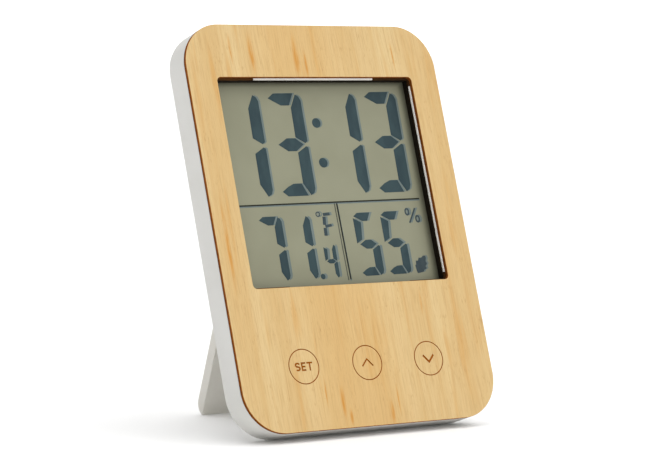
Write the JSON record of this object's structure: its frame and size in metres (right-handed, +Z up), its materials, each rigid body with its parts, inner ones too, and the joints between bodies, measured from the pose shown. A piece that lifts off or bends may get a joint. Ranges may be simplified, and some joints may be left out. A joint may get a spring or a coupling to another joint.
{
  "type": "home weather station",
  "caption": "Slim leaning desk weather station: bamboo front panel around a segment LCD, touch keys, white plastic case, rear battery housing and a fold-out stand.",
  "frame": {"origin": "bottom centre of the standing object's bounding box, on the surface it stands on", "axes": "+Z up, the display faces -Y and leans back 18.6 degrees, +X to the right as seen from the front"},
  "size_m": [0.1, 0.074, 0.1329],
  "materials": {
    "bamboo": "satin",
    "white_plastic": "fine matte",
    "adhesive_film": "satin",
    "black_foam": "matte",
    "lcd_film": "semi-gloss",
    "lcd_glass": "polished",
    "circuit_laminate": "satin",
    "black_epoxy": "satin",
    "plated_steel": "satin",
    "sensor_body": "matte",
    "cell_jacket": "satin",
    "black_insulation": "satin",
    "red_insulation": "satin"
  },
  "bodies": {
    "case": {"battery_lower": "cell_jacket", "battery_spring_lower": "plated_steel", "battery_spring_upper": "plated_steel", "battery_upper": "cell_jacket", "battery_wire_black": "black_insulation", "battery_wire_red": "red_insulation", "board_screw_1": "plated_steel", "board_screw_2": "plated_steel", "board_screw_3": "plated_steel", "board_screw_4": "plated_steel", "case_screw_1": "plated_steel", "case_screw_2": "plated_steel", "case_screw_3": "plated_steel", "case_screw_4": "plated_steel", "circuit_board": "circuit_laminate", "clock_crystal": "plated_steel", "contact_bridge": "plated_steel", "contact_plate_negative": "plated_steel", "contact_plate_positive": "plated_steel", "controller_chip": "black_epoxy", "front_case": "white_plastic", "front_panel": "bamboo", "humidity_sensor": "sensor_body", "lcd_front_glass": "lcd_glass", "lcd_front_polarizer": "lcd_film", "lcd_gasket": "black_foam", "lcd_rear_glass": "lcd_glass", "lcd_reflector": "lcd_film", "panel_adhesive": "adhesive_film", "rear_cover": "white_plastic", "smoothing_capacitor": "black_epoxy", "thermistor": "black_epoxy", "touch_spring_down": "plated_steel", "touch_spring_set": "plated_steel", "touch_spring_up": "plated_steel", "zebra_strip": "black_foam"},
    "stand": {"stand": "white_plastic"},
    "battery_door": {"battery_door": "white_plastic"}
  },
  "joints": [
    {"name": "stand_hinge", "type": "hinge", "parent": "case", "child": "stand", "pos_m": [0, 0.0053, 0.08599], "axis": [-1, 0, 0], "range_deg": [0, 38.5]},
    {"name": "battery_door_hinge", "type": "hinge", "parent": "case", "child": "battery_door", "pos_m": [0, 0.01756, 0.09516], "axis": [-1, 0, 0], "range_deg": [0, 70]}
  ]
}
